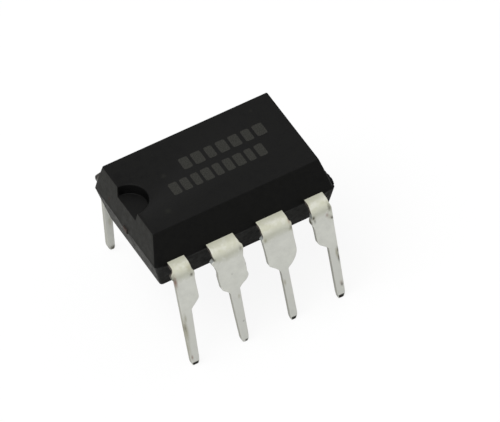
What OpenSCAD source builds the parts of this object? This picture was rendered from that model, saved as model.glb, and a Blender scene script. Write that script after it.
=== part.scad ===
// Eight-pin plastic dual in-line chip: a moulded epoxy body round a stamped and formed lead frame, with
// the silicon die, its adhesive and its gold bond wires inside. X runs along the body, with the index
// notch at -X. Pins 1 to 4 stand at -Y and pins 5 to 8 at +Y. The lead tips stand on z = 0.

/* [Body] */
// Length of the body at its parting line
body_length = 9.25; // [9:0.05:10.2]
// Width of the body at its parting line
body_width = 6.1; // [5.9:0.05:6.6]
// Height of the moulding above the parting line
upper_height = 1.71; // [1.4:0.01:2]
// Height of the moulding below the parting line
lower_height = 1.64; // [1.4:0.01:2]
// Draft of the two ends, from the upright
end_draft = 12; // [4:0.5:15]
// Draft of the two long sides, from the upright
side_draft = 17; // [4:0.5:19]
// Radius of the four upright corners
corner_radius = 0.15; // [0.05:0.01:0.3]
// Height of the plain band that the mould halves leave at the parting line
parting_land = 0.04; // [0.02:0.01:0.1]

/* [Index notch] */
// Radius of the half-moon notch at the top face
notch_radius = 1; // [0.8:0.01:1.2]
// Depth of the notch floor below the top face
notch_depth = 0.5; // [0.3:0.01:0.6]
// Draft of the notch wall, from the upright
notch_draft = 12; // [4:1:25]

/* [Mould marks] */
// Diameter of the round ejector-pin marks in the underside
ejector_diameter = 1.5; // [1:0.05:1.8]
// Depth of the ejector-pin marks
ejector_depth = 0.08; // [0.03:0.01:0.15]
// Distance between the centres of the two ejector-pin marks
ejector_spacing = 4.6; // [3:0.1:6]
// Width of the broken gate, at the end away from the notch
gate_width = 0.9; // [0.5:0.05:1.2]
// Height of the gate, below the parting line
gate_height = 0.22; // [0.1:0.01:0.35]
// How far the broken gate stands out of the end face
gate_stub = 0.16; // [0.05:0.01:0.25]
// Distance of the gate's centre from the body's centre line, towards pins 1 to 4
gate_offset = 2.35; // [1.2:0.05:2.35]

/* [Leads outside] */
// Distance between the centres of neighbouring pins
pitch = 2.54; // [2.5:0.01:2.6]
// Thickness of the lead frame's sheet
sheet = 0.254; // [0.2:0.002:0.3]
// Distance from the body's side to the outer face of the leads, at the shoulder, on a centred body
shoulder_reach = 0.75; // [0.7:0.01:0.95]
// How far the lead frame sits off the middle of the body, towards pins 5 to 8
frame_offset = 0.08; // [0:0.01:0.1]
// Lean of the legs, outward from the upright
splay = 5.8; // [0:0.1:12]
// Inner radius of the bend at the shoulder
bend_radius = 0.2; // [0.1:0.01:0.25]
// Height of the body's underside over the seating plane
standoff = 0.75; // [0.5:0.01:1.2]
// Height of the seating plane over the lead tips
leg_length = 3.35; // [2.9:0.05:3.8]
// Width of the wide part of a lead
shoulder_width = 1.42; // [1.2:0.01:1.6]
// Distance of an end lead's outer edge from its pin's centre line
end_edge = 0.22; // [0.15:0.01:0.3]
// Width of each leg under its seating shoulder, for pins 1 to 8
leg_widths = [0.5, 0.49, 0.35, 0.43, 0.43, 0.35, 0.49, 0.4]; // [0.34:0.01:0.53]
// Width of each leg where its point starts
leg_end_widths = [0.4, 0.37, 0.36, 0.39, 0.39, 0.36, 0.37, 0.38]; // [0.33:0.01:0.42]
// How far each leg's top lies off its pin's centre line, as bent in handling
leg_shifts = [0.03, 0, 0.02, 0, 0, 0.02, 0, 0.01]; // [-0.05:0.01:0.05]
// How far each leg's tip lies off its pin's centre line
tip_shifts = [-0.02, 0.04, 0.05, -0.01, -0.01, 0.05, 0.04, 0.01]; // [-0.1:0.01:0.1]
// Width of the cut face at a tip
tip_width = 0.26; // [0.15:0.01:0.3]
// Length of the point
tip_length = 0.3; // [0.15:0.01:0.5]
// Height of the slant that the cut leaves on a tip's outer face
slant_height = 0.2; // [0.1:0.01:0.3]
// Depth of that slant, into the sheet
slant_depth = 0.08; // [0.04:0.01:0.12]
// Height of the sloping seating shoulder
shoulder_rise = 0.6; // [0.4:0.01:0.8]
// Part of that height which lies under the seating plane
seat_depth = 0.25; // [0.1:0.01:0.35]
// Radius of the seating shoulder's outer corner
shoulder_round = 0.2; // [0.05:0.01:0.3]
// Length of leg between the bend and the cut tie of the leads
tie_drop = 0.25; // [0.1:0.01:0.35]
// Width of the cut tie, along the leg
tie_width = 0.46; // [0.3:0.01:0.55]
// Length of the slope under the cut tie's stub
tie_slope = 0.38; // [0.1:0.01:0.45]
// How far the cut tie stands out at -X, where the punch leaves more
tie_stub = 0.14; // [0.08:0.01:0.2]
// How far the cut tie stands out at +X
tie_trace = 0.05; // [0.02:0.01:0.07]

/* [Leads inside] */
// Length of full-width lead inside the body
root_depth = 0.5; // [0.3:0.01:0.7]
// Step in each edge that locks the lead in the resin
lock_step = 0.12; // [0.05:0.01:0.2]
// Width of a finger at its tip
finger_width = 0.5; // [0.35:0.01:0.6]
// Gap between the fingers and the die paddle
finger_gap = 0.3; // [0.2:0.01:0.4]
// Distance of a middle finger's tip from the body's short centre line
middle_finger = 0.75; // [0.6:0.01:1]
// Distance of an end finger's tip from the body's long centre line
end_finger = 0.98; // [0.9:0.01:1.15]

/* [Die and paddle] */
// Length of the die paddle
paddle_length = 3.5; // [3.2:0.05:3.8]
// Width of the die paddle
paddle_width = 2.5; // [2.2:0.05:2.7]
// Distance that the paddle is pressed down below the leads
downset = 0.25; // [0.1:0.01:0.4]
// Width of the paddle's tie bars
bar_width = 0.36; // [0.25:0.01:0.45]
// Distance of the tie bars from the long centre line, towards pins 1 to 4
bar_offset = 0.15; // [0:0.01:0.2]
// How far the cut tie bars stand out of the end faces
bar_stub = 0.04; // [0.02:0.01:0.08]
// Level length of tie bar beside the paddle
bar_foot = 0.15; // [0.05:0.01:0.3]
// Length of the slope in each tie bar
bar_slope = 0.35; // [0.2:0.01:0.5]
// Length of the silicon die
die_length = 1.7; // [1.2:0.05:2]
// Width of the silicon die
die_width = 1.3; // [1:0.05:1.6]
// Thickness of the silicon die
die_height = 0.28; // [0.2:0.01:0.33]
// Thickness of the adhesive under the die
glue_height = 0.03; // [0.02:0.005:0.05]
// How far the adhesive is squeezed out beyond the die
glue_margin = 0.1; // [0.05:0.01:0.15]

/* [Bond wires] */
// Diameter of the gold wire
wire_diameter = 0.03; // [0.02:0.001:0.04]
// Diameter of the ball pressed onto the die
ball_diameter = 0.08; // [0.06:0.005:0.1]
// Height of the pressed ball
ball_height = 0.03; // [0.02:0.002:0.04]
// Diameter of the flattened stitch on the finger
stitch_diameter = 0.07; // [0.06:0.005:0.1]
// Thickness of the stitch
stitch_height = 0.012; // [0.008:0.001:0.016]
// Rise of the wire's loop
loop_height = 0.26; // [0.15:0.01:0.35]
// Distance of the bond pads from the die's edges
pad_inset = 0.12; // [0.08:0.01:0.2]
// Distance of the middle leads' pads from the short centre line
pad_offset = 0.28; // [0.15:0.01:0.4]
// Distance of a stitch from the finger's tip
stitch_inset = 0.18; // [0.1:0.01:0.25]

/* [Hidden] */

$fn = 48;
row_pins = 4; // pins in one row
round_steps = 5; // edges in a rounded corner
wire_sides = 8; // sides of a wire
wire_steps = 14; // rings along a wire
loop_skew = 0.6; // leans the loop's top towards the die
film = 0.001; // thickness of the outlines that the moulding is stretched over
sink = 0.002; // how far the moulding's pockets for stacked pieces run into each other
over = 0.1; // how far a cutter runs past the face it opens

epoxy_colour = [0.13, 0.13, 0.12];
lead_colour = [0.76, 0.76, 0.72];
copper_colour = [0.72, 0.45, 0.30];
glue_colour = [0.62, 0.62, 0.60];
silicon_colour = [0.30, 0.32, 0.38];
gold_colour = [0.95, 0.76, 0.30];

underside = leg_length + standoff;
parting = underside + lower_height;
top_face = parting + upper_height;
sheet_top = parting + sheet / 2;
paddle_top = sheet_top - downset;
die_bottom = paddle_top + glue_height;
die_top = die_bottom + die_height;

top_length = body_length - 2 * upper_height * tan(end_draft);
top_width = body_width - 2 * upper_height * tan(side_draft);
bottom_length = body_length - 2 * lower_height * tan(end_draft);
bottom_width = body_width - 2 * lower_height * tan(side_draft);

// The bend's centre line lies at this distance from the long centre line, and at this height
outer_radius = bend_radius + sheet;
bend_out = body_width / 2 + shoulder_reach - outer_radius * (1 - sin(splay)) / cos(splay);
bend_up = sheet_top - outer_radius;
leg_run = (bend_up + bend_radius * sin(splay)) / cos(splay); // length of leg from the tip to the bend
tip_out = bend_out + bend_radius * cos(splay) + leg_run * sin(splay);

slope_start = (leg_length - seat_depth) / cos(splay); // the rest are distances up the leg from its tip
slope_end = slope_start + shoulder_rise;
tie_end = leg_run - tie_drop;
tie_start = tie_end - tie_width;

// Columns count from the notch, so pins 1 and 8 are both in column 0. End columns have their own fingers.
function column_of(pin) = pin > row_pins ? 2 * row_pins - pin : pin - 1;
function column_x(column) = (column - (row_pins - 1) / 2) * pitch;
function is_end(column) = column == 0 || column == row_pins - 1;
function side(column) = column < row_pins / 2 ? -1 : 1;
function half_width(column, towards) =
    is_end(column) && side(column) == towards ? end_edge : shoulder_width / 2;

function unit(v) = v / norm(v);

// Points of an arc that rounds the corner b between the neighbours a and c
function rounded(a, b, c, radius) =
    let (
        to_a = unit(a - b),
        to_c = unit(c - b),
        half = acos(to_a * to_c) / 2,
        centre = b + unit(to_a + to_c) * radius / sin(half),
        first = b + to_a * radius / tan(half) - centre,
        last = b + to_c * radius / tan(half) - centre,
        start = atan2(first.y, first.x),
        turn = atan2(cross(first, last), first * last)
    )
    [for (k = [0:round_steps]) let (a = start + turn * k / round_steps) centre + radius * [cos(a), sin(a)]];

// One edge of a leg from tip to bend, as widths and distances up the leg. Towards is -1 at -X, 1 at +X.
function leg_edge(pin, towards) =
    let (
        column = column_of(pin),
        half = half_width(column, towards),
        narrow = is_end(column) && side(column) == towards,
        stub = towards > 0 ? tie_trace : tie_stub,
        point = [tip_width / 2 + towards * tip_shifts[pin - 1], 0],
        leg_end = [leg_end_widths[pin - 1] / 2 + towards * tip_shifts[pin - 1], tip_length],
        leg_top = [leg_widths[pin - 1] / 2 + towards * leg_shifts[pin - 1], slope_start],
        shoulder = [half, slope_end],
        tie_low = [half, tie_start]
    )
    concat(
        [point, leg_end, leg_top],
        narrow ? [] : rounded(leg_top, shoulder, tie_low, shoulder_round),
        [tie_low, [half + stub, tie_start + tie_slope], [half + stub, tie_end], [half, tie_end]],
        [[half, leg_run]]
    );

function flipped(points) = [for (k = [len(points) - 1:-1:0]) [-points[k].x, points[k].y]];

// Outline of a flat leg, with its pin's centre line at 0
function leg_outline(pin) = concat(leg_edge(pin, 1), flipped(leg_edge(pin, -1)));

// Tip of a finger, as distances from the body's short and long centre lines
function finger_tip(column) = is_end(column)
    ? [paddle_length / 2 + finger_gap, end_finger]
    : [middle_finger, paddle_width / 2 + finger_gap];

// The two corners of a finger's tip: an end finger points at the paddle's end, a middle one at its side
function tip_corners(column) =
    let (tip = finger_tip(column), half = finger_width / 2)
    is_end(column) ? [tip - [0, half], tip + [0, half]] : [tip + [half, 0], tip - [half, 0]];

// Outline of the flat shoulder and finger, as distances from the short and long centre lines
function finger_outline(column) =
    let (
        near = side(column) * column_x(column) - half_width(column, -side(column)),
        far = side(column) * column_x(column) + half_width(column, side(column)),
        root = body_width / 2 - root_depth
    )
    concat(
        [[near, bend_out], [far, bend_out], [far, root], [far - lock_step, root]],
        tip_corners(column),
        [[near + lock_step, root], [near, root]]
    );

module flat_finger(column) {
    outline = [for (p = finger_outline(column)) [side(column) * p.x, -p.y]];
    translate([0, 0, sheet_top - sheet]) linear_extrude(sheet) polygon(outline);
}

module shoulder_bend(column) {
    low = column_x(column) - half_width(column, -1);
    high = column_x(column) + half_width(column, 1);
    profile = [[bend_radius, low], [outer_radius, low], [outer_radius, high], [bend_radius, high]];
    translate([0, -bend_out, bend_up]) rotate([90, 0, 90]) rotate([0, 0, 90])
        rotate_extrude(angle = 90 - splay) polygon(profile);
}

// Side view of what the slanting cut takes off a tip, as distances up the leg and out from its inner face
module tip_slant() {
    inner = sheet - slant_depth;
    outer = sheet + over;
    rotate([90, 0, 90]) linear_extrude(2 * shoulder_width, center = true)
        polygon([[-over, inner], [0, inner], [slant_height, sheet], [slant_height, outer], [-over, outer]]);
}

module leg(pin) {
    translate([column_x(column_of(pin)), -tip_out, 0]) rotate([90 - splay, 0, 0]) difference() {
        linear_extrude(sheet) polygon(leg_outline(pin));
        tip_slant();
    }
}

// Puts a piece of the lead frame where the frame sits in the moulding
module on_frame() {
    translate([0, frame_offset, 0]) children();
}

// Mirrors the front row to make the back row
module in_row(pin) {
    on_frame() mirror([0, pin > row_pins ? 1 : 0, 0]) children();
}

module lead(pin) {
    column = column_of(pin);
    color(lead_colour) in_row(pin) {
        flat_finger(column);
        shoulder_bend(column);
        leg(pin);
    }
}

module lead_1() { lead(1); }
module lead_2() { lead(2); }
module lead_3() { lead(3); }
module lead_4() { lead(4); }
module lead_5() { lead(5); }
module lead_6() { lead(6); }
module lead_7() { lead(7); }
module lead_8() { lead(8); }

// Side view of one tie bar: level at the end face, then down to the paddle
module tie_bar() {
    foot = paddle_length / 2 + bar_foot;
    knee = foot + bar_slope;
    tail = body_length / 2 + bar_stub;
    upper_line = [[0, paddle_top], [foot, paddle_top], [knee, sheet_top], [tail, sheet_top]];
    lower_line = [for (k = [len(upper_line) - 1:-1:0]) upper_line[k] - [0, sheet]];
    translate([0, bar_width / 2, 0]) rotate([90, 0, 0]) linear_extrude(bar_width)
        polygon(concat(upper_line, lower_line));
}

module die_paddle() {
    color(copper_colour) on_frame() {
        translate([-paddle_length / 2, -paddle_width / 2, paddle_top - sheet])
            cube([paddle_length, paddle_width, sheet]);
        for (end = [0, 1]) translate([0, -bar_offset, 0]) mirror([end, 0, 0]) tie_bar();
    }
}

module die_attach() {
    size = [die_length + 2 * glue_margin, die_width + 2 * glue_margin, glue_height];
    color(glue_colour) on_frame() translate([-size.x / 2, -size.y / 2, paddle_top]) cube(size);
}

module die() {
    color(silicon_colour) on_frame() translate([-die_length / 2, -die_width / 2, die_bottom])
        cube([die_length, die_width, die_height]);
}

// Where a wire starts on the die and ends on its finger
function pad_point(column) = [
    side(column) * (is_end(column) ? die_length / 2 - pad_inset : pad_offset),
    -(die_width / 2 - pad_inset),
    die_top + ball_height / 2
];
function stitch_point(column) =
    let (at = finger_tip(column) + (is_end(column) ? [stitch_inset, 0] : [0, stitch_inset]))
    [side(column) * at.x, -at.y, sheet_top];

// The wire runs straight in plan. Its height is a straight fall plus a half sine, skewed towards the die.
function wire_point(start, stop, t) =
    start + (stop - start) * t + [0, 0, loop_height * sin(180 * pow(t, loop_skew))];

// One ring of the wire, square to its course
function wire_ring(at, course, across) =
    let (below = cross(across, course), radius = wire_diameter / 2)
    [for (k = [0:wire_sides - 1])
        let (a = 360 * k / wire_sides)
        at + radius * (cos(a) * across + sin(a) * below)];

module wire_tube(start, stop) {
    path = [for (k = [0:wire_steps]) wire_point(start, stop, pow(k / wire_steps, 1 / loop_skew))];
    across = unit([start.y - stop.y, stop.x - start.x, 0]);
    rings = [for (k = [0:wire_steps])
        let (course = k == 0 ? [0, 0, 1] : k == wire_steps ? [0, 0, -1] : unit(path[k + 1] - path[k - 1]))
        each wire_ring(path[k], course, across)];
    first = [for (k = [wire_sides - 1:-1:0]) k];
    last = [for (k = [0:wire_sides - 1]) wire_steps * wire_sides + k];
    walls = [for (n = [0:wire_steps - 1], k = [0:wire_sides - 1])
        let (a = n * wire_sides, b = (k + 1) % wire_sides)
        [a + k, a + b, a + b + wire_sides, a + k + wire_sides]];
    polyhedron(rings, concat([first], walls, [last]));
}

// The ball on the die and the stitch on the finger. Their pockets in the moulding start lower, by a drop.
module wire_ends(start, stop, drop) {
    translate([start.x, start.y, die_top - drop]) cylinder(h = ball_height + drop, d = ball_diameter);
    translate([stop.x, stop.y, sheet_top - drop]) cylinder(h = stitch_height + drop, d = stitch_diameter);
}

module bond_wire(pin, drop = 0) {
    start = pad_point(column_of(pin));
    stop = stitch_point(column_of(pin));
    color(gold_colour) in_row(pin) {
        wire_ends(start, stop, drop);
        wire_tube(start, stop);
    }
}

module bond_wire_1() { bond_wire(1); }
module bond_wire_2() { bond_wire(2); }
module bond_wire_3() { bond_wire(3); }
module bond_wire_4() { bond_wire(4); }
module bond_wire_5() { bond_wire(5); }
module bond_wire_6() { bond_wire(6); }
module bond_wire_7() { bond_wire(7); }
module bond_wire_8() { bond_wire(8); }

// A thin outline of the moulding with rounded corners
module outline_at(height, length, width, thickness) {
    corner = [length / 2 - corner_radius, width / 2 - corner_radius];
    translate([0, 0, height]) linear_extrude(thickness)
        for (x = [-1, 1], y = [-1, 1])
            translate([x * corner.x, y * corner.y]) circle(corner_radius);
}

module moulded_block() {
    hull() {
        outline_at(underside, bottom_length, bottom_width, film);
        outline_at(parting - parting_land / 2, body_length, body_width, parting_land);
        outline_at(top_face - film, top_length, top_width, film);
    }
}

// The broken gate, where the resin came in under the parting line
module gate() {
    root = bottom_length / 2 - over;
    translate([root, -gate_offset - gate_width / 2, parting - gate_height])
        cube([body_length / 2 + gate_stub - root, gate_width, gate_height]);
}

module index_notch() {
    slant = tan(notch_draft);
    floor_radius = notch_radius - notch_depth * slant;
    mouth_radius = notch_radius + over * slant;
    translate([-top_length / 2, 0, top_face - notch_depth])
        cylinder(h = notch_depth + over, r1 = floor_radius, r2 = mouth_radius);
}

module ejector_marks() {
    for (x = [-1, 1]) translate([x * ejector_spacing / 2, 0, underside - over])
        cylinder(h = ejector_depth + over, d = ejector_diameter);
}

module epoxy_body() {
    color(epoxy_colour) difference() {
        union() {
            moulded_block();
            gate();
        }
        index_notch();
        ejector_marks();
        for (pin = [1:2 * row_pins]) {
            lead(pin);
            bond_wire(pin, sink);
        }
        die_paddle();
        for (drop = [0, sink]) translate([0, 0, -drop]) {
            die_attach();
            die();
        }
    }
}

epoxy_body();
lead_1();
lead_2();
lead_3();
lead_4();
lead_5();
lead_6();
lead_7();
lead_8();
die_paddle();
die_attach();
die();
bond_wire_1();
bond_wire_2();
bond_wire_3();
bond_wire_4();
bond_wire_5();
bond_wire_6();
bond_wire_7();
bond_wire_8();
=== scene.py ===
import math

import bpy
import numpy as np
from mathutils import Matrix, Vector


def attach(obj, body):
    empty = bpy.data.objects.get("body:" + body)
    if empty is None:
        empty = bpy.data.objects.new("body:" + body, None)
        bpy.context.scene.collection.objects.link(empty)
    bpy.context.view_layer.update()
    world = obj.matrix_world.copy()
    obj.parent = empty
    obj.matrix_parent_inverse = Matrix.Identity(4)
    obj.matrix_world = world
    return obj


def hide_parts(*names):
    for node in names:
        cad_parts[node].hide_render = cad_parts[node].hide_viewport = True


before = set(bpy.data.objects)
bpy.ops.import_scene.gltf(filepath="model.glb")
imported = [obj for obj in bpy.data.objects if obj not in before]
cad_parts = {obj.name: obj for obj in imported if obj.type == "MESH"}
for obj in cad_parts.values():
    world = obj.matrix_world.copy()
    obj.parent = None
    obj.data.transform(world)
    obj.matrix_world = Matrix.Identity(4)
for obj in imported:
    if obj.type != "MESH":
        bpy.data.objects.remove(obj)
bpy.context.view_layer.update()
mm = 0.001  # sizes below are written in millimetres, and colours as sRGB hex
print("frame loaded")


# sRGB to linear: the darkest values are divided by 12.92, the rest follow a power of 2.4
def toLinear(hexColour):
    channels = np.array([int(hexColour[k:k + 2], 16) for k in (1, 3, 5)]) / 255
    bright = ((channels + 0.055) / 1.055) ** 2.4
    return (*np.where(channels <= 0.04045, channels / 12.92, bright), 1.0)


# Adds one node. Settings are its properties or its sockets' values, links are what feeds its sockets.
def addNode(owner, kind, settings=(), links=()):
    tree = owner.node_tree
    node = tree.nodes.new(kind)
    for name, value in dict(settings).items():
        if isinstance(name, str) and hasattr(node, name):
            setattr(node, name, value)
        else:
            node.inputs[name].default_value = value
    for name, source in dict(links).items():
        tree.links.new(source, node.inputs[name])
    return node


# A node material with nothing in it yet
def newMaterial(name):
    material = bpy.data.materials.new(name)
    material.use_nodes = True
    material.node_tree.nodes.clear()
    return material


# A noise over the object's own coordinates, which are in metres, with features of a size in millimetres
def addNoise(material, place, size, detail, roughness):
    return addNode(material, "ShaderNodeTexNoise",
                   {"Scale": 1 / (size * mm), "Detail": detail, "Roughness": roughness}, {"Vector": place})


# Mixes two colours, each a hex code or an output, by the share of the second
def addMix(material, share, first, second):
    settings, links = {"data_type": "RGBA"}, {0: share}
    for socket, colour in ((6, first), (7, second)):
        if isinstance(colour, str):
            settings[socket] = toLinear(colour)
        else:
            links[socket] = colour
    return addNode(material, "ShaderNodeMix", settings, links).outputs[2]


# Makes an object from points in millimetres. Its signed volume goes with the sum, over all faces and their
# edges, of the face's middle dotted with the cross product of the edge's ends. A mesh with a negative one
# is turned about.
def makePiece(name, points, faces, material, smooth=True):
    points = np.asarray(points, float).reshape(-1, 3)
    volume = 0.0
    for face in faces:
        face = np.asarray(face)
        corners = points[face]
        middle = corners.mean(axis=1, keepdims=True)
        following = np.roll(corners, -1, axis=1)
        volume += np.einsum("ijk,ijk->", np.broadcast_to(middle, corners.shape), np.cross(corners, following))
    if volume < 0:
        faces = [np.asarray(face)[:, ::-1] for face in faces]
    listed = [row for face in faces for row in np.asarray(face).tolist()]
    mesh = bpy.data.meshes.new(name)
    mesh.from_pydata((points * mm).tolist(), [], listed)
    mesh.update()
    mesh.polygons.foreach_set("use_smooth", np.full(len(mesh.polygons), smooth))
    piece = bpy.data.objects.new(name, mesh)
    bpy.context.scene.collection.objects.link(piece)
    if material is not None:
        mesh.materials.append(material)
    return piece


# Quads between neighbouring rings of a grid whose rings close on themselves, and one flat cap at each end
def tubeFaces(rings, around, start=0):
    ring, step = np.meshgrid(np.arange(rings - 1), np.arange(around), indexing="ij")
    beside = (step + 1) % around
    quads = np.stack([ring * around + step, ring * around + beside,
                      (ring + 1) * around + beside, (ring + 1) * around + step], axis=-1).reshape(-1, 4)
    firstCap = np.arange(around)[None, ::-1]
    lastCap = (rings - 1) * around + np.arange(around)[None, :]
    return [quads + start, firstCap + start, lastCap + start]


# Writes one number per vertex, for a material to read
def setAttribute(piece, name, values):
    attribute = piece.data.attributes.new(name, "FLOAT", "POINT")
    attribute.data.foreach_set("value", np.asarray(values, np.float32).ravel())


# Rises smoothly from 0 at low to 1 at high: three squares less two cubes of the share in between
def smoothStep(low, high, value):
    share = np.clip((value - low) / (high - low), 0, 1)
    return share * share * (3 - 2 * share)


# Camera, from the fit of a pinhole to the photograph's corners
cameraValues = {
    "position": (-88.305, -219.158, 254.112),
    "forward": (0.26061514, 0.63521514, -0.72703609),
    "roll": 7.868,  # degrees, tips the upright to the left
    "lens": 539.657, "sensor": 36,
    "nearest": 10, "farthest": 10000,  # mm, what lies between these is drawn
}


# The level right and up directions are cross products with the upright, then both turn by the roll
def makeCamera():
    values = cameraValues
    forward = Vector(values["forward"]).normalized()
    levelRight = forward.cross(Vector((0, 0, 1))).normalized()
    levelUp = levelRight.cross(forward)
    roll = math.radians(values["roll"])
    up = levelUp * math.cos(roll) + levelRight * math.sin(roll)
    right = forward.cross(up)
    turn = Matrix((right, up, -forward)).transposed().to_4x4()
    data = bpy.data.cameras.new("photoCamera")
    data.sensor_width = values["sensor"]
    data.lens = values["lens"]
    data.clip_start = values["nearest"] * mm
    data.clip_end = values["farthest"] * mm
    camera = bpy.data.objects.new("photoCamera", data)
    camera.matrix_world = Matrix.Translation(Vector(values["position"]) * mm) @ turn
    bpy.context.scene.collection.objects.link(camera)
    bpy.context.scene.camera = camera


makeCamera()
bpy.context.scene.view_settings.view_transform = "Standard"
print("camera placed")

# Studio: a white sweep under a large soft box, in a pale room
studioValues = {
    "floorSize": 900,  # mm
    "floorColour": "#d2d2cf",
    "shadowShare": 0.12,  # how much of the floor is lit where it is seen, the rest is plain white
    "mirroredShare": 0.95,  # how much of the floor is lit paper where the plating and the epoxy mirror it
    "roomLight": 0.62,
    "softBoxSize": 420,
    "softBoxPlace": (-230, -40, 500),
    "softBoxPower": 1.8,  # watts
}


# One for camera, glossy and transmission rays, which show the white background, and zero for all others
def addSeenRay(owner):
    path = addNode(owner, "ShaderNodeLightPath")
    glossy = addNode(owner, "ShaderNodeMath", {"operation": "MAXIMUM"},
                     {0: path.outputs["Is Camera Ray"], 1: path.outputs["Is Glossy Ray"]})
    return addNode(owner, "ShaderNodeMath", {"operation": "MAXIMUM"},
                   {0: glossy.outputs[0], 1: path.outputs["Is Transmission Ray"]})


# The floor is lit paper to the light, plain white with a faint shadow to the camera, and clear from below.
# The room is white where it is seen and dimmer as a light.
def makeStudio():
    values = studioValues
    half = values["floorSize"] / 2
    material = newMaterial("whiteSweep")
    seen = addSeenRay(material)
    paper = addNode(material, "ShaderNodeBsdfDiffuse", {"Color": toLinear(values["floorColour"])})
    white = addNode(material, "ShaderNodeEmission", {"Color": (1, 1, 1, 1), "Strength": 1.0})
    shaded = addNode(material, "ShaderNodeBsdfDiffuse", {"Color": (1, 1, 1, 1)})
    path = addNode(material, "ShaderNodeLightPath")
    shown = addNode(material, "ShaderNodeMixShader", {0: values["shadowShare"]},
                    {1: white.outputs[0], 2: shaded.outputs[0]})
    mirrored = addNode(material, "ShaderNodeMixShader", {0: values["mirroredShare"]},
                       {1: white.outputs[0], 2: paper.outputs[0]})
    faced = addNode(material, "ShaderNodeMixShader", {},
                    {0: path.outputs["Is Camera Ray"], 1: mirrored.outputs[0], 2: shown.outputs[0]})
    both = addNode(material, "ShaderNodeMixShader", {},
                   {0: seen.outputs[0], 1: paper.outputs[0], 2: faced.outputs[0]})
    under = addNode(material, "ShaderNodeNewGeometry")
    clear = addNode(material, "ShaderNodeBsdfTransparent")
    oneSided = addNode(material, "ShaderNodeMixShader", {},
                       {0: under.outputs["Backfacing"], 1: both.outputs[0], 2: clear.outputs[0]})
    addNode(material, "ShaderNodeOutputMaterial", {}, {"Surface": oneSided.outputs[0]})
    corners = [(-half, -half, 0), (half, -half, 0), (half, half, 0), (-half, half, 0)]
    mesh = bpy.data.meshes.new("floor")
    mesh.from_pydata([tuple(c * mm for c in corner) for corner in corners], [], [(0, 1, 2, 3)])
    mesh.materials.append(material)
    floor = bpy.data.objects.new("floor", mesh)
    bpy.context.scene.collection.objects.link(floor)

    world = bpy.data.worlds.new("paleRoom")
    world.use_nodes = True
    world.node_tree.nodes.clear()
    seen = addSeenRay(world)
    strength = addNode(world, "ShaderNodeMapRange", {"To Min": values["roomLight"], "To Max": 1.0},
                       {"Value": seen.outputs[0]})
    room = addNode(world, "ShaderNodeBackground", {"Color": (1, 1, 1, 1)}, {"Strength": strength.outputs[0]})
    addNode(world, "ShaderNodeOutputWorld", {}, {"Surface": room.outputs[0]})
    bpy.context.scene.world = world

    lamp = bpy.data.lights.new("softBox", "AREA")
    lamp.size = values["softBoxSize"] * mm
    lamp.energy = values["softBoxPower"]
    softBox = bpy.data.objects.new("softBox", lamp)
    place = Vector(values["softBoxPlace"]) * mm
    softBox.location = place
    softBox.rotation_euler = (-place).to_track_quat("-Z", "Y").to_euler()
    bpy.context.scene.collection.objects.link(softBox)


makeStudio()
print("studio made")

# Epoxy moulding compound: silica-filled resin with carbon black, transfer-moulded in a spark-eroded cavity.
# The eye sees a matt near-black with a fine even grain, which turns grey where it is seen at a low angle.
epoxyLook = {
    "resin": "#090909",
    "paler": "#111110",
    "patchSize": 0.28,  # mm, flow marks and the cavity's wear
    "patchDepth": 0.004,
    "grainSize": 0.06,  # the real grain is near 0.02 and wouldn't show
    "grainDepth": 0.01,
    "specular": 0.08,  # the matt skin scatters most of what bare resin would mirror
    "roughness": 0.45,
    "roughnessSpread": 0.1,
    "endSheen": "#272725",  # painted sheen on the end faces, for the grey that their low-angle reflection gives
    "wallShade": "#030303",  # painted shade on the index notch's wall, down in its recess
    "scuffs": [  # place, radius and tone
        ((-4.37, 2.28, 6.95), 0.14, "#33332f"), ((-4.51, 1.61, 6.29), 0.12, "#2e1e1a"),
        ((-4.6, -2.59, 5.86), 0.12, "#020202"), ((-2.19, 0.44, 7.45), 0.16, "#1b1b18"),
        ((-3.03, -1.6, 7.45), 0.2, "#1a1b17"), ((3.1, 1.9, 7.45), 0.12, "#181815"),
    ],
}
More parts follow.
